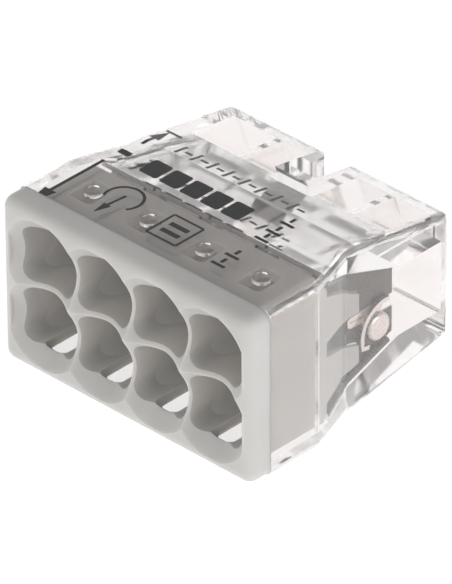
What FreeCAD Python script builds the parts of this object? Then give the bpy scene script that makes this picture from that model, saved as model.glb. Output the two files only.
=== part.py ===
"""Eight-way push-in splicing connector, built from its separate pieces.

Frame: X across the four columns of wire entries, Y from the entry face (front) to the back, Z up.
The model is drawn with Y = 0 on the entry face and Z = 0 on the underside, and every piece is
moved back by half the depth when it is written, so the origin is the centre of the underside.
All sizes are in millimetres.
"""
import FreeCAD, Part
import math
import os

from FreeCAD import Vector

# ---- overall size ----
WIDTH = 18.1
HEIGHT = 10.2
DEPTH = 16.4
MIDDLE = HEIGHT / 2

# ---- wire positions: four columns in two rows ----
COLUMNS = 4
COLUMN_PITCH = 4.05
ROW_OFFSET = 1.9
CLAMP_OFFSET = 1.3

# ---- wire entry cover: mouths and wire passages ----
FLANGE_DEPTH = 1.56
FLANGE_ROUND = 0.7
MOUTH_RIM = 0.6
MOUTH_RADIUS = 2.68
POCKET_FRONT = 0.3
POCKET_HALF_WIDTH = 1.9
POCKET_HALF_HEIGHT = 1.72
POCKET_CORNER = 0.9
POCKET_FLARE_RADIUS = 2.6
BORE_FRONT = 4.1
BORE_BACK = 5.6
BORE_RADIUS = 1.72
FUNNEL_FRONT = 5.3
FUNNEL_BACK = 8.0
CONDUCTOR_RADIUS = 0.98

# ---- wire entry cover: block, guide fingers and windows ----
BLOCK_END = 6.3
BLOCK_CHAMFER = 0.4
BLOCK_ROUND = 0.5
GUIDE_END = 9.75
GUIDE_ROOT = 5.7
GUIDE_ROOT_HALF_WIDTH = 1.9
GUIDE_TAPER_END = 8.2
GUIDE_HALF_WIDTH = 1.25
GUIDE_ROOT_HALF_HEIGHT = 1.45
GUIDE_TIP_LOW = {1: 0.6, -1: -2.6}
GUIDE_TIP_HIGH = {1: 1.7, -1: -1.5}
TONGUE_SLOT_GAP = 0.12
SPRING_SLOT_HALF = 1.28
SPRING_SLOT_HEIGHT = 0.85
WINDOW_HALF_WIDTH = 0.8
WINDOW_ROUND = 0.3
WINDOW_FRONT = {1: 2.9, -1: 0.85}
WINDOW_BACK = 4.9
FLANGE_SKIN = 0.45
FIT_GAP = 0.08

# ---- clear housing, outside ----
SHOULDER_FRONT = 5.2
SHOULDER_BACK = 8.4
SHOULDER_INSET = 1.07
TAPER_FRONT = 9.2
TAPER_DROP = 1.3
HOUSING_ROUND = 0.5
NOTCH_WIDTH = 2.25
NOTCH_FRONT = 12.6

# ---- clear housing, inside ----
ROOF_WALL = 0.75
SIDE_WALL = 0.75
SIDE_WALL_BACK = 0.5
CAVITY_SLOPE_FRONT = 6.4
CAVITY_BACK = 12.6
CAVITY_BACK_HALF = 2.15
CELL_BACK = 15.9
CELL_DIVIDER_HALF = 0.2
NOTCH_WALL = 0.4
BOSS_RADIUS = 0.5
BOSS_DROP = 0.22
BOSS_DEPTH = 4.0

# ---- busbar ----
BUSBAR_THICKNESS = 0.3
BUSBAR_HALF_WIDTH = 7.12
BUSBAR_FRONT = 9.0
BUSBAR_BACK = 11.7
BUSBAR_HALF_HEIGHT = 0.32
HOOK_THICKNESS = 0.28
HOOK_WIDTH = 0.28
HOOK_RADIUS = 1.75
HOOK_CENTRE_DEPTH = 11.7
HOOK_CENTRE_HEIGHT = -1.3
HOOK_FOOT = ((9.98, -1.84), (10.5, -1.93))
STUD_RADIUS = 0.85
STUD_DEPTH = 11.3
STUD_HEIGHT = -1.1
STUD_ROUND = 0.25

# ---- clamping springs ----
SPRING_THICKNESS = 0.25
SPRING_WIDTH = 2.36
LINING_FRONT = 6.5
LINING_BACK = 12.0
LINING_HALF_WIDTH = 1.93
BEND_LEG_BACK = 8.0
LINING_SLOT_FRONT = 10.2
LINING_SLOT_HALF = 0.95
CHEEK_FRONT = 9.85
CHEEK_BACK = 12.5
CHEEK_WING_FRONT = 8.3
CHEEK_TAB_FRONT = 8.6
CHEEK_THICKNESS = 0.08
CHEEK_EDGE_HEIGHT = 0.4
CHEEK_GAP = 0.1
TONGUE_WIDTH = 1.66
BEND_CENTRE_DEPTH = 7.0
BEND_CENTRE_HEIGHT = 3.42
BEND_RADIUS = 0.6
TONGUE_ANGLE = 41.5
TONGUE_TIP_HEIGHT = 0.38
LEG_GAP = 0.05


def column_x(column):
    return (column - (COLUMNS - 1) / 2) * COLUMN_PITCH


def row_z(side):
    return MIDDLE + side * ROW_OFFSET


def polygon_face(points):
    wire = Part.makePolygon(points + [points[0]])
    return Part.Face(wire)


def plan_prism(outline, low, high):
    """Solid whose plan view is the mirrored outline of (half width, depth) points."""
    right = [Vector(half, depth, low) for half, depth in outline]
    left = [Vector(-half, depth, low) for half, depth in reversed(outline)]
    return polygon_face(right + left).extrude(Vector(0, 0, high - low))


def side_prism(outline, half_width, centre=0.0):
    """Solid whose side view is the outline of (depth, height) points."""
    points = [Vector(centre - half_width, depth, height) for depth, height in outline]
    return polygon_face(points).extrude(Vector(2 * half_width, 0, 0))


def box(x0, x1, y0, y1, z0, z1):
    return Part.makeBox(x1 - x0, y1 - y0, z1 - z0, Vector(x0, y0, z0))


def cylinder_y(radius, y0, y1, x, z):
    return Part.makeCylinder(radius, y1 - y0, Vector(x, y0, z), Vector(0, 1, 0))


def cone_y(radius0, radius1, y0, y1, x, z):
    return Part.makeCone(radius0, radius1, y1 - y0, Vector(x, y0, z), Vector(0, 1, 0))


def tilted_cone(radius0, radius1, y0, y1, column, side):
    """Cone round the line on which a wire runs from its bore to its clamp, between two depths."""
    fall = side * (CLAMP_OFFSET - ROW_OFFSET) / (GUIDE_END - BORE_BACK)
    direction = Vector(0, 1, fall)
    start = Vector(column_x(column), y0, row_z(side) + fall * (y0 - BORE_BACK))
    length = (y1 - y0) * direction.Length
    if radius0 == radius1:
        return Part.makeCylinder(radius0, length, start, direction)
    return Part.makeCone(radius0, radius1, length, start, direction)


def fuse_all(shapes):
    return shapes[0].fuse(shapes[1:]).removeSplitter()


def positions():
    """Every wire position as (column, side), with side +1 for the upper row."""
    return [(column, side) for side in (1, -1) for column in range(COLUMNS)]


# ---- clear housing ----
def housing_plan(front, back, front_inset, back_inset):
    """Half plan outline, full width at the front and narrower behind the shoulders."""
    wide = WIDTH / 2 - front_inset
    narrow = WIDTH / 2 - SHOULDER_INSET - back_inset
    return [(wide, front), (wide, SHOULDER_FRONT), (narrow, SHOULDER_BACK), (narrow, back)]


def housing_outside():
    plan = plan_prism(housing_plan(FLANGE_DEPTH, DEPTH, 0, 0), -1, HEIGHT + 1)
    side = side_prism([(FLANGE_DEPTH, 0), (TAPER_FRONT, 0), (DEPTH, TAPER_DROP),
                       (DEPTH, HEIGHT - TAPER_DROP), (TAPER_FRONT, HEIGHT), (FLANGE_DEPTH, HEIGHT)],
                      WIDTH)
    solid = plan.common(side)
    back_edges = [edge for edge in solid.Edges if edge.BoundBox.YMax > FLANGE_DEPTH + 0.01]
    return solid.makeFillet(HOUSING_ROUND, back_edges)


def cavity():
    """The hollow for the cover's block and the metal parts."""
    plan = plan_prism(housing_plan(FLANGE_DEPTH - 1, CAVITY_BACK, SIDE_WALL, SIDE_WALL_BACK),
                      -1, HEIGHT + 1)
    low, high = ROOF_WALL, HEIGHT - ROOF_WALL
    side = side_prism([(FLANGE_DEPTH - 1, low), (CAVITY_SLOPE_FRONT, low),
                       (CAVITY_BACK, MIDDLE - CAVITY_BACK_HALF),
                       (CAVITY_BACK, MIDDLE + CAVITY_BACK_HALF),
                       (CAVITY_SLOPE_FRONT, high), (FLANGE_DEPTH - 1, high)], WIDTH)
    half = NOTCH_WIDTH / 2 + NOTCH_WALL
    wall = box(-half, half, NOTCH_FRONT - NOTCH_WALL, DEPTH, 0, HEIGHT)
    return plan.common(side).cut(wall)


def wire_end_cells():
    """Tall pockets behind the metal parts, one to a column, that take the bare wires' ends."""
    outer_wall = WIDTH / 2 - SHOULDER_INSET - SIDE_WALL_BACK
    outer = (COLUMN_PITCH + CELL_DIVIDER_HALF, outer_wall)
    inner = (NOTCH_WIDTH / 2 + NOTCH_WALL, COLUMN_PITCH - CELL_DIVIDER_HALF)
    cells = []
    for hand in (1, -1):
        for near, far in (outer, inner):
            left, right = sorted([hand * near, hand * far])
            cells.append(box(left, right, CAVITY_BACK - 0.1, CELL_BACK,
                             MIDDLE - CAVITY_BACK_HALF, MIDDLE + CAVITY_BACK_HALF))
    return cells


def latch_bosses():
    """Round bosses under the roof and over the floor that snap into the cover's windows."""
    bosses = []
    for column, side in positions():
        wall = HEIGHT - ROOF_WALL if side > 0 else ROOF_WALL
        inner = wall - side * BOSS_DROP
        low, high = sorted([inner, wall + side * 0.2])
        bosses.append(Part.makeCylinder(BOSS_RADIUS, high - low,
                                        Vector(column_x(column), BOSS_DEPTH, low)))
    return bosses


def clear_housing():
    solid = housing_outside().cut([cavity()] + wire_end_cells())
    solid = solid.fuse(latch_bosses())
    notch = box(-NOTCH_WIDTH / 2, NOTCH_WIDTH / 2, NOTCH_FRONT, DEPTH + 1, -1, HEIGHT + 1)
    return solid.cut(notch).removeSplitter()


# ---- wire entry cover ----
def flange():
    plate = box(-WIDTH / 2, WIDTH / 2, 0, FLANGE_DEPTH, 0, HEIGHT)
    edges = [edge for edge in plate.Edges if edge.BoundBox.YMin < FLANGE_DEPTH - 0.01]
    return plate.makeFillet(FLANGE_ROUND, edges)


def cover_block():
    """The part of the cover inside the housing, with its rear edges chamfered."""
    plan = plan_prism(housing_plan(FLANGE_DEPTH - 0.5, BLOCK_END, SIDE_WALL + FIT_GAP,
                                   SIDE_WALL_BACK + FIT_GAP), -1, HEIGHT + 1)
    low = ROOF_WALL + FIT_GAP
    high = HEIGHT - low
    chamfer_front = BLOCK_END - BLOCK_CHAMFER
    profile = side_prism([(0, low), (chamfer_front, low), (BLOCK_END, low + BLOCK_CHAMFER),
                          (BLOCK_END, high - BLOCK_CHAMFER), (chamfer_front, high), (0, high)],
                         WIDTH)
    block = plan.common(profile)
    long_edges = [edge for edge in block.Edges
                  if edge.BoundBox.YLength > 2 and edge.BoundBox.ZLength < 0.01
                  and edge.BoundBox.XLength < 0.01]
    return block.makeFillet(BLOCK_ROUND, long_edges)


def mouths():
    """The countersunk entries run into each other in sharp crests, inside a plain rim."""
    depth = MOUTH_RADIUS - BORE_RADIUS
    cones = [cone_y(MOUTH_RADIUS + 0.2, BORE_RADIUS, -0.2, depth, column_x(column), row_z(side))
             for column, side in positions()]
    rim = box(MOUTH_RIM - WIDTH / 2, WIDTH / 2 - MOUTH_RIM, -1, BLOCK_END, MOUTH_RIM,
              HEIGHT - MOUTH_RIM)
    corners = [edge for edge in rim.Edges if edge.BoundBox.YLength > 1]
    rim = rim.makeFillet(MOUTH_RIM, corners)
    return fuse_all(cones).common(rim)


def pocket(column, side):
    """Rounded square behind a mouth, whose corners close in to the round bore."""
    x, z = column_x(column), row_z(side)
    square = box(x - POCKET_HALF_WIDTH, x + POCKET_HALF_WIDTH, POCKET_FRONT, BORE_FRONT,
                 z - POCKET_HALF_HEIGHT, z + POCKET_HALF_HEIGHT)
    corners = [edge for edge in square.Edges if edge.BoundBox.YLength > 1]
    square = square.makeFillet(POCKET_CORNER, corners)
    return square.common(cone_y(POCKET_FLARE_RADIUS, BORE_RADIUS, POCKET_FRONT, BORE_FRONT, x, z))


def wire_passage(column, side):
    """Pocket and bore for the insulated wire, then a funnel to the size of the bare wire."""
    x, z = column_x(column), row_z(side)
    bore = cylinder_y(BORE_RADIUS, BORE_FRONT - 0.05, BORE_BACK, x, z)
    funnel = tilted_cone(BORE_RADIUS, CONDUCTOR_RADIUS, FUNNEL_FRONT, FUNNEL_BACK, column, side)
    hole = tilted_cone(CONDUCTOR_RADIUS, CONDUCTOR_RADIUS, FUNNEL_BACK - 0.05, GUIDE_END + 1,
                       column, side)
    return fuse_all([pocket(column, side), bore, funnel, hole])


def guide_fingers(column, side):
    """Two tapered side walls that carry the passage on past the block to the clamp."""
    x, z = column_x(column), row_z(side)
    low, high = z - GUIDE_ROOT_HALF_HEIGHT, z + GUIDE_ROOT_HALF_HEIGHT
    profile = side_prism([(GUIDE_ROOT, low), (BLOCK_END, low),
                          (GUIDE_END, MIDDLE + GUIDE_TIP_LOW[side]),
                          (GUIDE_END, MIDDLE + GUIDE_TIP_HIGH[side]),
                          (BLOCK_END, high), (GUIDE_ROOT, high)], COLUMN_PITCH / 2, x)
    plan = plan_prism([(GUIDE_ROOT_HALF_WIDTH, GUIDE_ROOT), (GUIDE_HALF_WIDTH, GUIDE_TAPER_END),
                       (GUIDE_HALF_WIDTH, GUIDE_END)], 0, HEIGHT)
    plan.translate(Vector(x, 0, 0))
    tongue_half = TONGUE_WIDTH / 2 + TONGUE_SLOT_GAP
    tongue_slot = box(x - tongue_half, x + tongue_half, BLOCK_END, GUIDE_END + 1, low, high)
    near, far = sorted([z + side * SPRING_SLOT_HEIGHT, z + side * (GUIDE_ROOT_HALF_HEIGHT + 1)])
    spring_slot = box(x - SPRING_SLOT_HALF, x + SPRING_SLOT_HALF, BLOCK_END + 0.05, GUIDE_END + 1,
                      near, far)
    return profile.common(plan).cut([tongue_slot, spring_slot])


def window(column, side):
    """Latch window in the roof or floor of a passage; the floor's reaches into the flange."""
    x = column_x(column)
    inner = row_z(side) + side * POCKET_HALF_HEIGHT / 2
    outer = MIDDLE + side * (MIDDLE + 1)
    low, high = sorted([inner, outer])
    opening = box(x - WINDOW_HALF_WIDTH, x + WINDOW_HALF_WIDTH, WINDOW_FRONT[side], WINDOW_BACK,
                  low, high)
    uprights = [edge for edge in opening.Edges if edge.BoundBox.ZLength > 1]
    opening = opening.makeFillet(WINDOW_ROUND, uprights)
    skin_side = MIDDLE + side * (MIDDLE - FLANGE_SKIN)
    low, high = sorted([skin_side, outer])
    return opening.cut(box(-WIDTH, WIDTH, -1, FLANGE_DEPTH, low, high))


def wire_entry_cover():
    solid = fuse_all([flange(), cover_block()])
    solid = solid.fuse([guide_fingers(column, side) for column, side in positions()])
    passages = [wire_passage(column, side) for column, side in positions()]
    windows = [window(column, side) for column, side in positions()]
    return solid.cut([mouths()] + passages + windows).removeSplitter()


# ---- sheet metal ----
def offset_strip(points, thickness):
    """Closed (depth, height) outline of a strip of even thickness along a path of points."""
    left, right = [], []
    last = len(points) - 1
    for index, (depth, height) in enumerate(points):
        before = points[max(index - 1, 0)]
        after = points[min(index + 1, last)]
        run, rise = after[0] - before[0], after[1] - before[1]
        length = math.hypot(run, rise)
        across = (-rise / length * thickness / 2, run / length * thickness / 2)
        left.append((depth + across[0], height + across[1]))
        right.append((depth - across[0], height - across[1]))
    return left + right[::-1]


def arc_points(centre, radius, start, end, steps):
    """Points on an arc in the (depth, height) plane, angles in degrees from the +depth axis."""
    turns = [math.radians(start + (end - start) * step / steps) for step in range(steps + 1)]
    return [(centre[0] + radius * math.cos(turn), centre[1] + radius * math.sin(turn))
            for turn in turns]


def busbar_fold():
    """The strip folded over its rounded front edge, with a contact face above and below."""
    reach = BUSBAR_HALF_HEIGHT - BUSBAR_THICKNESS / 2
    nose = (BUSBAR_FRONT + BUSBAR_HALF_HEIGHT, MIDDLE)
    path = [(BUSBAR_BACK, MIDDLE - reach)]
    path += arc_points(nose, reach, 270, 90, 14)
    path.append((BUSBAR_BACK, MIDDLE + reach))
    return side_prism(offset_strip(path, BUSBAR_THICKNESS), BUSBAR_HALF_WIDTH)


def busbar_end(hand):
    """Curved end hook and round stud on one end of the busbar."""
    x = hand * (BUSBAR_HALF_WIDTH + HOOK_WIDTH / 2)
    hook_centre = (HOOK_CENTRE_DEPTH, MIDDLE + HOOK_CENTRE_HEIGHT)
    path = arc_points(hook_centre, HOOK_RADIUS, 80, 188, 16)
    path += [(depth, MIDDLE + height) for depth, height in HOOK_FOOT]
    hook = side_prism(offset_strip(path, HOOK_THICKNESS), HOOK_WIDTH / 2, x)
    left = BUSBAR_HALF_WIDTH if hand > 0 else -BUSBAR_HALF_WIDTH - HOOK_WIDTH
    centre = Vector(left, STUD_DEPTH, MIDDLE + STUD_HEIGHT)
    stud = Part.makeCylinder(STUD_RADIUS, HOOK_WIDTH, centre, Vector(1, 0, 0))
    outer_x = hand * (BUSBAR_HALF_WIDTH + HOOK_WIDTH)
    rim = [edge for edge in stud.Edges
           if abs(edge.BoundBox.XMin - outer_x) < 0.01 and abs(edge.BoundBox.XMax - outer_x) < 0.01]
    return hook.fuse(stud.makeFillet(STUD_ROUND, rim))


def busbar():
    return fuse_all([busbar_fold(), busbar_end(1), busbar_end(-1)])


def spring_point(depth, height, side):
    """Place a (depth, height above the middle) point in the upper or the lower row."""
    return (depth, MIDDLE + side * height)


def mirrored(points, side):
    return [spring_point(depth, height, side) for depth, height in points]


def roof_slope():
    """Fall of the cavity's slanted roof for each unit of depth."""
    return (MIDDLE - ROOF_WALL - CAVITY_BACK_HALF) / (CAVITY_BACK - CAVITY_SLOPE_FRONT)


def lining_height(depth):
    """Height above the middle of the centre plane of a spring's fixed leg."""
    fall = roof_slope()
    outside = BEND_CENTRE_HEIGHT + BEND_RADIUS * math.hypot(1, fall)
    middle = outside - SPRING_THICKNESS / 2 * math.hypot(1, fall)
    return middle - (depth - BEND_CENTRE_DEPTH) * fall


def anchor_bend():
    """The fixed leg's middle, round the front bend to the root of the tongue."""
    centre = (BEND_CENTRE_DEPTH, BEND_CENTRE_HEIGHT)
    start = 90 - math.degrees(math.atan(roof_slope()))
    bend = arc_points(centre, BEND_RADIUS - SPRING_THICKNESS / 2, start, 270 - TONGUE_ANGLE, 12)
    return [(BEND_LEG_BACK, lining_height(BEND_LEG_BACK))] + bend


def anchor_lining(column, side):
    """The fixed leg: a fork along the cavity's roof or floor, with room for tongue and wire."""
    x = column_x(column)
    left = -WIDTH / 2 if column == 0 else x - LINING_HALF_WIDTH
    right = WIDTH / 2 if column == COLUMNS - 1 else x + LINING_HALF_WIDTH
    path = [(LINING_FRONT, lining_height(LINING_FRONT)), (LINING_BACK, lining_height(LINING_BACK))]
    outline = mirrored(offset_strip(path, SPRING_THICKNESS), side)
    plate = side_prism(outline, (right - left) / 2, (right + left) / 2)
    plan = plan_prism(housing_plan(0, CAVITY_BACK, SIDE_WALL + FIT_GAP, SIDE_WALL_BACK + FIT_GAP),
                      0, HEIGHT)
    slot = box(x - LINING_SLOT_HALF, x + LINING_SLOT_HALF, LINING_SLOT_FRONT, DEPTH, 0, HEIGHT)
    return plate.common(plan).cut(slot)


def finger_edge(depth, side, outer):
    """Distance from the middle of a guide finger's outer or inner edge at a depth."""
    tips = sorted([side * GUIDE_TIP_LOW[side], side * GUIDE_TIP_HIGH[side]])
    root = ROW_OFFSET + (GUIDE_ROOT_HALF_HEIGHT if outer else -GUIDE_ROOT_HALF_HEIGHT)
    tip = tips[1] if outer else tips[0]
    return root + (tip - root) * (depth - BLOCK_END) / (GUIDE_END - BLOCK_END)


def anchor_cheek(column, side):
    """Side plate on the outer springs, from the fork inwards, cut out round the guide finger."""
    hand = 1 if column > 0 else -1
    outline = [(CHEEK_BACK, CHEEK_EDGE_HEIGHT), (CHEEK_BACK, lining_height(CHEEK_BACK)),
               (CHEEK_WING_FRONT, lining_height(CHEEK_WING_FRONT)),
               (CHEEK_WING_FRONT, finger_edge(CHEEK_WING_FRONT, side, True) + CHEEK_GAP),
               (CHEEK_FRONT, finger_edge(CHEEK_FRONT, side, True) + CHEEK_GAP)]
    if side > 0:
        outline.append((CHEEK_FRONT, CHEEK_EDGE_HEIGHT))
    else:
        outline += [(CHEEK_FRONT, finger_edge(CHEEK_FRONT, side, False) - CHEEK_GAP),
                    (CHEEK_TAB_FRONT, finger_edge(CHEEK_TAB_FRONT, side, False) - CHEEK_GAP),
                    (CHEEK_TAB_FRONT, CHEEK_EDGE_HEIGHT)]
    centre = column_x(column) + hand * (LINING_SLOT_HALF + CHEEK_THICKNESS / 2)
    return side_prism(mirrored(outline, side), CHEEK_THICKNESS / 2, centre)


def spring_anchor(column, side):
    outline = mirrored(offset_strip(anchor_bend(), SPRING_THICKNESS), side)
    bend = side_prism(outline, SPRING_WIDTH / 2, column_x(column))
    pieces = [bend, anchor_lining(column, side)]
    if column in (0, COLUMNS - 1):
        pieces.append(anchor_cheek(column, side))
    return fuse_all(pieces)


def tongue_outline():
    """The free leg, running back and inwards from the bend to a bevelled clamping edge."""
    turn = math.radians(TONGUE_ANGLE)
    along = (math.cos(turn), -math.sin(turn))
    inward = (-math.sin(turn), -math.cos(turn))
    inner = BEND_RADIUS - SPRING_THICKNESS
    root = (BEND_CENTRE_DEPTH + inward[0] * inner, BEND_CENTRE_HEIGHT + inward[1] * inner)
    root = (root[0] + along[0] * LEG_GAP, root[1] + along[1] * LEG_GAP)
    under = (root[0] + inward[0] * SPRING_THICKNESS, root[1] + inward[1] * SPRING_THICKNESS)
    length = (under[1] - TONGUE_TIP_HEIGHT) / math.sin(turn)
    tip = (under[0] + along[0] * length, under[1] + along[1] * length)
    heel = (tip[0] - inward[0] * SPRING_THICKNESS - along[0] * 0.1,
            tip[1] - inward[1] * SPRING_THICKNESS - along[1] * 0.1)
    return [root, heel, tip, under]


def clamp_tongue(column, side):
    return side_prism(mirrored(tongue_outline(), side), TONGUE_WIDTH / 2, column_x(column))


def write(node, shape):
    placed = shape.copy()
    placed.translate(Vector(0, -DEPTH / 2, 0))
    placed.exportStep("parts/" + node + ".step")
    print(node, "valid", placed.isValid(), "solids", len(placed.Solids), "volume",
          round(placed.Volume, 2))


def main():
    os.makedirs("parts", exist_ok=True)
    write("clear_housing", clear_housing())
    write("wire_entry_cover", wire_entry_cover())
    write("busbar", busbar())
    for column, side in positions():
        place = ("upper" if side > 0 else "lower") + "_" + str(column + 1)
        write("spring_anchor_" + place, spring_anchor(column, side))
        write("clamp_tongue_" + place, clamp_tongue(column, side))


main()
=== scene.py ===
"""Looks of an eight-way push-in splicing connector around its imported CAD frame. Metres, +Z up."""
import math

import bmesh
import bpy
from mathutils import Matrix, Vector


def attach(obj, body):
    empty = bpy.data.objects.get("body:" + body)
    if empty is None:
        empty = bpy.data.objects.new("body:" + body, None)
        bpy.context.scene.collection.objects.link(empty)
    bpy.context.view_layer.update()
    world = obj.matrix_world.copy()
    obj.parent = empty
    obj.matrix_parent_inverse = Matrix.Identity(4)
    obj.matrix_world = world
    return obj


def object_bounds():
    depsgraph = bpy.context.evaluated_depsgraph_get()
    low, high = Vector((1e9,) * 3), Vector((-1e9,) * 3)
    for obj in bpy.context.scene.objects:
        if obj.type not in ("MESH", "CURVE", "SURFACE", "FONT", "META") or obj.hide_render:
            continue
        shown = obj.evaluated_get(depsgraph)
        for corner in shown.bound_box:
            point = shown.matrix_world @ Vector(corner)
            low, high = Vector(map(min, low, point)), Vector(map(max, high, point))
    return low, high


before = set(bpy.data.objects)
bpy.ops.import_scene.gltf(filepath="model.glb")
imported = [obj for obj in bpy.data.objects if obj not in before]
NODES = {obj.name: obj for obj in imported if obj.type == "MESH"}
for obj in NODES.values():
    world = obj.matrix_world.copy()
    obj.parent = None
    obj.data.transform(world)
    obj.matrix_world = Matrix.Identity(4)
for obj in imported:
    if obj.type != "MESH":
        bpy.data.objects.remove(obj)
cad_low, cad_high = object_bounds()

MM = 0.001
DEPTH = cad_high.y - cad_low.y
FRONT = cad_low.y
TOP = cad_high.z

# ---- camera: a long lens, close to a parallel view ----
CAMERA_AZIMUTH = math.radians(43.94)
CAMERA_ELEVATION = math.radians(33.17)
CAMERA_ROLL = math.radians(-0.35)
CAMERA_DISTANCE = 0.4309
CAMERA_LENS = 505.3
CAMERA_RIGHT = 0.00023
CAMERA_UP = 0.000539
SENSOR_WIDTH = 36
AIM_DEPTH = 8 * MM
AIM_HEIGHT = 5 * MM

LIGHT_BOUNCES = 40


def make_camera():
    a, e = CAMERA_AZIMUTH, CAMERA_ELEVATION
    back = Vector((math.sin(a) * math.cos(e), -math.cos(a) * math.cos(e), math.sin(e)))
    right = Vector((math.cos(a), math.sin(a), 0))
    up = back.cross(right)
    target = Vector((0, FRONT + AIM_DEPTH, AIM_HEIGHT))
    turned_right = right * math.cos(CAMERA_ROLL) + up * math.sin(CAMERA_ROLL)
    turned_up = -right * math.sin(CAMERA_ROLL) + up * math.cos(CAMERA_ROLL)
    place = target + back * CAMERA_DISTANCE - turned_right * CAMERA_RIGHT - turned_up * CAMERA_UP
    data = bpy.data.cameras.new("camera")
    data.lens = CAMERA_LENS
    data.sensor_width = SENSOR_WIDTH
    data.clip_start = 0.01
    data.clip_end = 20
    camera = bpy.data.objects.new("camera", data)
    camera.matrix_world = Matrix((
        (turned_right.x, turned_up.x, back.x, place.x),
        (turned_right.y, turned_up.y, back.y, place.y),
        (turned_right.z, turned_up.z, back.z, place.z),
        (0, 0, 0, 1)))
    bpy.context.scene.collection.objects.link(camera)
    bpy.context.scene.camera = camera


# ---- node helpers ----
def new_material(name):
    material = bpy.data.materials.new(name)
    material.use_nodes = True
    tree = material.node_tree
    shader = tree.nodes["Principled BSDF"]
    output = tree.nodes["Material Output"]
    return material, tree, shader, output


def object_position(tree, scale=(1, 1, 1)):
    """Place on the object in metres, stretched by scale."""
    source = tree.nodes.new("ShaderNodeTexCoord")
    stretch = tree.nodes.new("ShaderNodeMapping")
    stretch.inputs["Scale"].default_value = scale
    tree.links.new(source.outputs["Object"], stretch.inputs["Vector"])
    return stretch.outputs["Vector"]


def noise(tree, position, scale, detail=4, roughness=0.55):
    node = tree.nodes.new("ShaderNodeTexNoise")
    node.inputs["Scale"].default_value = scale
    node.inputs["Detail"].default_value = detail
    node.inputs["Roughness"].default_value = roughness
    tree.links.new(position, node.inputs["Vector"])
    return node.outputs["Fac"]


def ramp(tree, value, stops):
    """Colour ramp from (place, colour) stops."""
    node = tree.nodes.new("ShaderNodeValToRGB")
    elements = node.color_ramp.elements
    while len(elements) < len(stops):
        elements.new(0.5)
    for element, (place, colour) in zip(elements, stops):
        element.position = place
        element.color = (*colour, 1)
    tree.links.new(value, node.inputs["Fac"])
    return node.outputs["Color"]


def map_range(tree, value, low, high):
    node = tree.nodes.new("ShaderNodeMapRange")
    node.inputs["To Min"].default_value = low
    node.inputs["To Max"].default_value = high
    tree.links.new(value, node.inputs["Value"])
    return node.outputs["Result"]


def bump(tree, height, strength, distance, under=None):
    node = tree.nodes.new("ShaderNodeBump")
    node.inputs["Strength"].default_value = strength
    node.inputs["Distance"].default_value = distance
    tree.links.new(height, node.inputs["Height"])
    if under is not None:
        tree.links.new(under, node.inputs["Normal"])
    return node.outputs["Normal"]


# ---- materials ----
def clear_polycarbonate():
    material, tree, shader, output = new_material("clear_polycarbonate")
    shader.inputs["IOR"].default_value = 1.585
    shader.inputs["Transmission Weight"].default_value = 0.985
    place = object_position(tree)
    cloud = noise(tree, place, 140, 2)
    tint = ramp(tree, cloud, [(0.3, (0.985, 0.957, 0.948)), (0.7, (0.995, 0.975, 0.968))])
    tree.links.new(tint, shader.inputs["Base Color"])
    smudge = noise(tree, place, 260, 3)
    tree.links.new(map_range(tree, smudge, 0.03, 0.12), shader.inputs["Roughness"])
    waves = noise(tree, place, 160, 1)
    tree.links.new(bump(tree, waves, 0.05, 0.00003), shader.inputs["Normal"])
    lets_light = tree.nodes.new("ShaderNodeBsdfTransparent")
    lets_light.inputs["Color"].default_value = (0.58, 0.575, 0.57, 1)
    path = tree.nodes.new("ShaderNodeLightPath")
    mix = tree.nodes.new("ShaderNodeMixShader")
    tree.links.new(path.outputs["Is Shadow Ray"], mix.inputs["Fac"])
    tree.links.new(shader.outputs["BSDF"], mix.inputs[1])
    tree.links.new(lets_light.outputs["BSDF"], mix.inputs[2])
    tree.links.new(mix.outputs["Shader"], output.inputs["Surface"])
    return material


def grey_polyamide():
    material, tree, shader, output = new_material("grey_polyamide")
    place = object_position(tree)
    cloud = noise(tree, place, 180, 4)
    colour = ramp(tree, cloud, [(0.3, (0.53, 0.52, 0.503)), (0.7, (0.58, 0.57, 0.552))])
    tree.links.new(colour, shader.inputs["Base Color"])
    shader.inputs["Subsurface Weight"].default_value = 0.7
    shader.inputs["Subsurface Radius"].default_value = (0.0009, 0.0008, 0.00072)
    shader.inputs["Subsurface Scale"].default_value = 1
    grain = noise(tree, place, 9000, 3)
    tree.links.new(map_range(tree, grain, 0.34, 0.5), shader.inputs["Roughness"])
    swirl = noise(tree, place, 900, 3)
    soft = bump(tree, swirl, 0.1, 0.00002)
    tree.links.new(bump(tree, grain, 0.15, 0.000006, soft), shader.inputs["Normal"])
    return material


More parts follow.
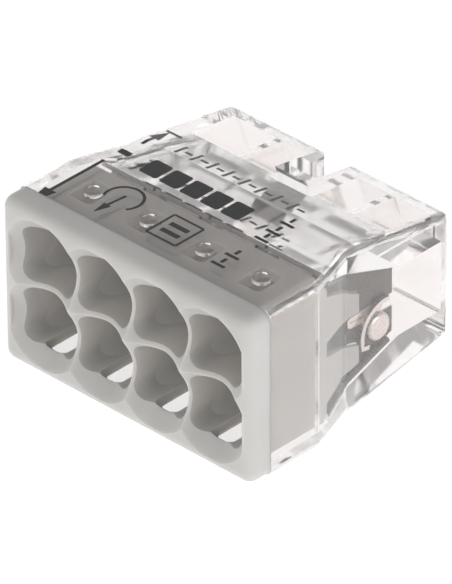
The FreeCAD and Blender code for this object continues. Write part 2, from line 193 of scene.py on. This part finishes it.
def rolled_metal(name, dark, light, cut_edge_and_shade_colour, low, high):
    """Metal strip rolled along X; faces that look along X get another colour: the cut-edge colour
    on copper, painted shade on steel.
    """
    material, tree, shader, output = new_material(name)
    shader.inputs["Metallic"].default_value = 1
    grain = noise(tree, object_position(tree, (0.05, 1, 1)), 9000, 4)
    spots = noise(tree, object_position(tree), 700, 4)
    colour = ramp(tree, spots, [(0.3, dark), (0.7, light)])
    geometry = tree.nodes.new("ShaderNodeNewGeometry")
    split = tree.nodes.new("ShaderNodeSeparateXYZ")
    tree.links.new(geometry.outputs["Normal"], split.inputs["Vector"])
    side = tree.nodes.new("ShaderNodeMath")
    side.operation = "ABSOLUTE"
    tree.links.new(split.outputs["X"], side.inputs[0])
    sharp = tree.nodes.new("ShaderNodeMath")
    sharp.operation = "POWER"
    sharp.inputs[1].default_value = 6
    tree.links.new(side.outputs["Value"], sharp.inputs[0])
    mix = tree.nodes.new("ShaderNodeMix")
    mix.data_type = "RGBA"
    tree.links.new(sharp.outputs["Value"], mix.inputs["Factor"])
    tree.links.new(colour, mix.inputs["A"])
    # Faces looking along X take this colour: the cut-edge colour on copper, painted shade (near
    # black) on the steel.
    mix.inputs["B"].default_value = (*cut_edge_and_shade_colour, 1)
    tree.links.new(mix.outputs["Result"], shader.inputs["Base Color"])
    tree.links.new(map_range(tree, grain, low, high), shader.inputs["Roughness"])
    tree.links.new(bump(tree, grain, 0.2, 0.000004), shader.inputs["Normal"])
    return material


def printing_ink():
    material, tree, shader, output = new_material("printing_ink")
    place = object_position(tree)
    speckle = noise(tree, place, 12000, 4)
    colour = ramp(tree, speckle, [(0.3, (0.003, 0.003, 0.003)), (0.8, (0.01, 0.01, 0.011))])
    tree.links.new(colour, shader.inputs["Base Color"])
    shader.inputs["Specular IOR Level"].default_value = 0.1
    tree.links.new(map_range(tree, speckle, 0.42, 0.62), shader.inputs["Roughness"])
    tree.links.new(bump(tree, speckle, 0.2, 0.000004), shader.inputs["Normal"])
    return material


def floor_paint():
    material, tree, shader, output = new_material("floor_paint")
    place = object_position(tree)
    cloud = noise(tree, place, 3, 2)
    colour = ramp(tree, cloud, [(0.3, (0.3, 0.3, 0.3)), (0.7, (0.31, 0.31, 0.31))])
    tree.links.new(colour, shader.inputs["Base Color"])
    shader.inputs["Roughness"].default_value = 0.9
    shader.inputs["Specular IOR Level"].default_value = 0
    shader.inputs["Emission Color"].default_value = (1, 1, 1, 1)
    shader.inputs["Emission Strength"].default_value = 0.88
    return material


def give(node, material):
    mesh = NODES[node].data
    mesh.materials.clear()
    mesh.materials.append(material)


def dress_nodes():
    clear = clear_polycarbonate()
    grey = grey_polyamide()
    copper = rolled_metal("tinned_copper", (0.42, 0.4, 0.385), (0.62, 0.59, 0.57),
                          (0.82, 0.75, 0.71), 0.2, 0.36)
    # The steel's faces that look along X are near black: painted shade for the dark metal seen from
    # the side.
    steel = rolled_metal("spring_steel", (0.68, 0.665, 0.655), (0.8, 0.785, 0.775),
                         (0.13, 0.118, 0.111), 0.2, 0.38)
    for node in NODES:
        if node == "clear_housing":
            give(node, clear)
        elif node == "wire_entry_cover":
            give(node, grey)
        elif node == "busbar":
            give(node, copper)
        else:
            give(node, steel)


# ---- print on the top face, in millimetres across (x) and back from the entry face (depth) ----
FLANGE_ROUND = 0.7
TAPER_FRONT = 9.2
TAPER_DROP = 1.3
INK_TOP = 0.004
INK_BOTTOM = 0.012
PRINT_STEP = 0.25
THIN_LINE = 0.11
GAUGE_X = -7.42
GAUGE_FAR_X = -7.1
ARC_STEPS = 24


def surface_drop(depth):
    """How far the top face lies below its highest level at a depth."""
    if depth < FLANGE_ROUND:
        return FLANGE_ROUND - math.sqrt(FLANGE_ROUND ** 2 - (FLANGE_ROUND - depth) ** 2)
    taper = TAPER_DROP / (DEPTH / MM - TAPER_FRONT)
    return max(0, depth - TAPER_FRONT) * taper


def surface_point(x, depth, below):
    return Vector((x * MM, FRONT + depth * MM, TOP - (surface_drop(depth) + below) * MM))


def strip(mesh, points, half_widths):
    """Closed thin band of ink along the points, wrapped on the top face."""
    rows = []
    last = len(points) - 1
    for index, (x, depth) in enumerate(points):
        before, after = points[max(index - 1, 0)], points[min(index + 1, last)]
        along = Vector((after[0] - before[0], after[1] - before[1])).normalized()
        half = half_widths[index]
        across = (-along.y * half, along.x * half)
        corners = [(x + across[0], depth + across[1]), (x - across[0], depth - across[1])]
        rows.append([mesh.verts.new(surface_point(cx, cd, below))
                     for below in (INK_TOP, INK_BOTTOM) for cx, cd in corners])
    for near, far in zip(rows, rows[1:]):
        mesh.faces.new((near[0], near[1], far[1], far[0]))
        mesh.faces.new((near[3], near[2], far[2], far[3]))
        mesh.faces.new((near[2], near[0], far[0], far[2]))
        mesh.faces.new((near[1], near[3], far[3], far[1]))
    mesh.faces.new((rows[0][0], rows[0][2], rows[0][3], rows[0][1]))
    mesh.faces.new((rows[-1][0], rows[-1][1], rows[-1][3], rows[-1][2]))


def line(mesh, start, end, half=THIN_LINE, end_half=None):
    """Straight band, tapering to end_half if that is given."""
    if end_half is None:
        end_half = half
    steps = max(1, round(math.dist(start, end) / PRINT_STEP))
    places = [step / steps for step in range(steps + 1)]
    points = [(start[0] + (end[0] - start[0]) * place, start[1] + (end[1] - start[1]) * place)
              for place in places]
    strip(mesh, points, [half + (end_half - half) * place for place in places])


def arc(mesh, centre, radius, start, end, half=THIN_LINE):
    """Round band between two angles in degrees."""
    turns = [math.radians(start + (end - start) * step / ARC_STEPS)
             for step in range(ARC_STEPS + 1)]
    points = [(centre[0] + radius * math.cos(turn), centre[1] + radius * math.sin(turn))
              for turn in turns]
    strip(mesh, points, [half] * len(points))


def strip_gauge(mesh):
    """Two arrows, with a plain bar between them, that show how much insulation to strip."""
    line(mesh, (GAUGE_X, 0.3), (GAUGE_X, 2.2), 0.03, 0.42)
    line(mesh, (GAUGE_X, 2.2), (GAUGE_X, 6.2))
    line(mesh, (GAUGE_X - 0.1, 7.45), (GAUGE_X + 0.7, 7.45), 0.22)
    line(mesh, (GAUGE_FAR_X, 8.7), (GAUGE_FAR_X, 9.6))
    line(mesh, (GAUGE_FAR_X, 9.6), (GAUGE_FAR_X, 10.75), 0.36, 0.04)
    line(mesh, (GAUGE_FAR_X - 0.3, 10.88), (GAUGE_FAR_X + 0.8, 10.88))


def push_in_sign(mesh):
    """Arrow into a half ring: a wire is pushed in."""
    arc(mesh, (-4.05, 4.2), 1.1, 205, -40, 0.09)
    line(mesh, (-4.3, 2.25), (-4.22, 3.2), 0.03, 0.27)
    line(mesh, (-4.22, 3.2), (-4.1, 4.45), 0.09)


def framed_sign(mesh):
    """Plain frame with two bars in it."""
    left, right, near, far = -1.0, 1.1, 2.75, 4.9
    line(mesh, (left, near), (right, near), 0.08)
    line(mesh, (left, far), (right, far), 0.08)
    line(mesh, (left, near), (left, far), 0.08)
    line(mesh, (right, near), (right, far), 0.08)
    for depth in (3.45, 4.15):
        line(mesh, (left + 0.4, depth), (right - 0.4, depth), 0.17)


def block_band(mesh):
    """Row of five plain solid blocks."""
    for index in range(5):
        left = -5.45 + index * 1.48
        strip(mesh, [(left, 7.4), (left + 0.12, 7.4), (left + 1.18, 7.4), (left + 1.3, 7.4)],
              [0.6, 0.72, 0.72, 0.6])


def tick_row(mesh):
    """Row of short ticks behind the blocks."""
    for index in range(8):
        x = -5.3 + index * 1.16
        line(mesh, (x, 9.3), (x, 10.3), 0.1)
        line(mesh, (x + 0.32, 9.8), (x + 0.84, 9.8), 0.1)


def side_ticks(mesh):
    """Row of plain ticks from front to back."""
    for depth in (3.0, 4.05, 6.25, 7.15, 8.2):
        line(mesh, (3.45, depth), (4.4, depth))
        line(mesh, (3.9, depth + 0.25), (3.9, depth + 0.7))


def make_print():
    ink = printing_ink()
    marks = {"strip_gauge_print": strip_gauge, "push_in_sign_print": push_in_sign,
             "framed_sign_print": framed_sign, "block_band_print": block_band,
             "tick_row_print": tick_row, "side_ticks_print": side_ticks}
    for name, draw in marks.items():
        shape = bmesh.new()
        draw(shape)
        bmesh.ops.recalc_face_normals(shape, faces=shape.faces)
        mesh = bpy.data.meshes.new(name)
        shape.to_mesh(mesh)
        shape.free()
        mesh.materials.append(ink)
        piece = bpy.data.objects.new(name, mesh)
        bpy.context.scene.collection.objects.link(piece)
        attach(piece, "connector")


# ---- stage and light ----
FLOOR_HALF = 3.0
FLOOR_GAP = 0.00002
FRONT_LIGHT_PLACE = (-0.1, -0.35, 0.2)
FRONT_LIGHT_SIZE = (0.25, 0.25)
FRONT_LIGHT_POWER = 0.3
SIDE_LIGHT_PLACE = (0.4, 0.02, 0.16)
SIDE_LIGHT_SIZE = (0.3, 0.2)
SIDE_LIGHT_POWER = 0.6
LIGHT_AIM = (0, 0, 0.005)


def make_floor():
    mesh = bpy.data.meshes.new("floor")
    half = FLOOR_HALF
    corners = [(-half, -half, 0), (half, -half, 0), (half, half, 0), (-half, half, 0)]
    mesh.from_pydata(corners, [], [(0, 1, 2, 3)])
    floor = bpy.data.objects.new("floor", mesh)
    bpy.context.scene.collection.objects.link(floor)
    floor.location.z = cad_low.z - FLOOR_GAP
    mesh.materials.append(floor_paint())


def area_light(name, place, size, power):
    data = bpy.data.lights.new(name, "AREA")
    data.shape = "RECTANGLE"
    data.size, data.size_y = size
    data.energy = power
    light = bpy.data.objects.new(name, data)
    light.location = place
    light.rotation_mode = "QUATERNION"
    light.rotation_quaternion = (Vector(LIGHT_AIM) - Vector(place)).to_track_quat("-Z", "Y")
    bpy.context.scene.collection.objects.link(light)


def make_light():
    world = bpy.data.worlds.new("studio")
    world.use_nodes = True
    tree = world.node_tree
    source = tree.nodes.new("ShaderNodeTexCoord")
    split = tree.nodes.new("ShaderNodeSeparateXYZ")
    tree.links.new(source.outputs["Generated"], split.inputs["Vector"])
    sky = ramp(tree, split.outputs["Z"], [(0.0, (0.95, 0.95, 0.95)), (0.35, (0.85, 0.85, 0.85)),
                                          (0.6, (0.4, 0.4, 0.4)), (1.0, (0.22, 0.22, 0.22))])
    background = tree.nodes["Background"]
    tree.links.new(sky, background.inputs["Color"])
    background.inputs["Strength"].default_value = 1
    bpy.context.scene.world = world
    area_light("front_light", FRONT_LIGHT_PLACE, FRONT_LIGHT_SIZE, FRONT_LIGHT_POWER)
    area_light("side_light", SIDE_LIGHT_PLACE, SIDE_LIGHT_SIZE, SIDE_LIGHT_POWER)
    cycles = bpy.context.scene.cycles
    cycles.max_bounces = LIGHT_BOUNCES
    cycles.transmission_bounces = LIGHT_BOUNCES
    cycles.transparent_max_bounces = LIGHT_BOUNCES
    cycles.glossy_bounces = LIGHT_BOUNCES // 2
    view = bpy.context.scene.view_settings
    view.view_transform = "Standard"
    view.look = "None"


make_camera()
dress_nodes()
make_print()
make_floor()
make_light()
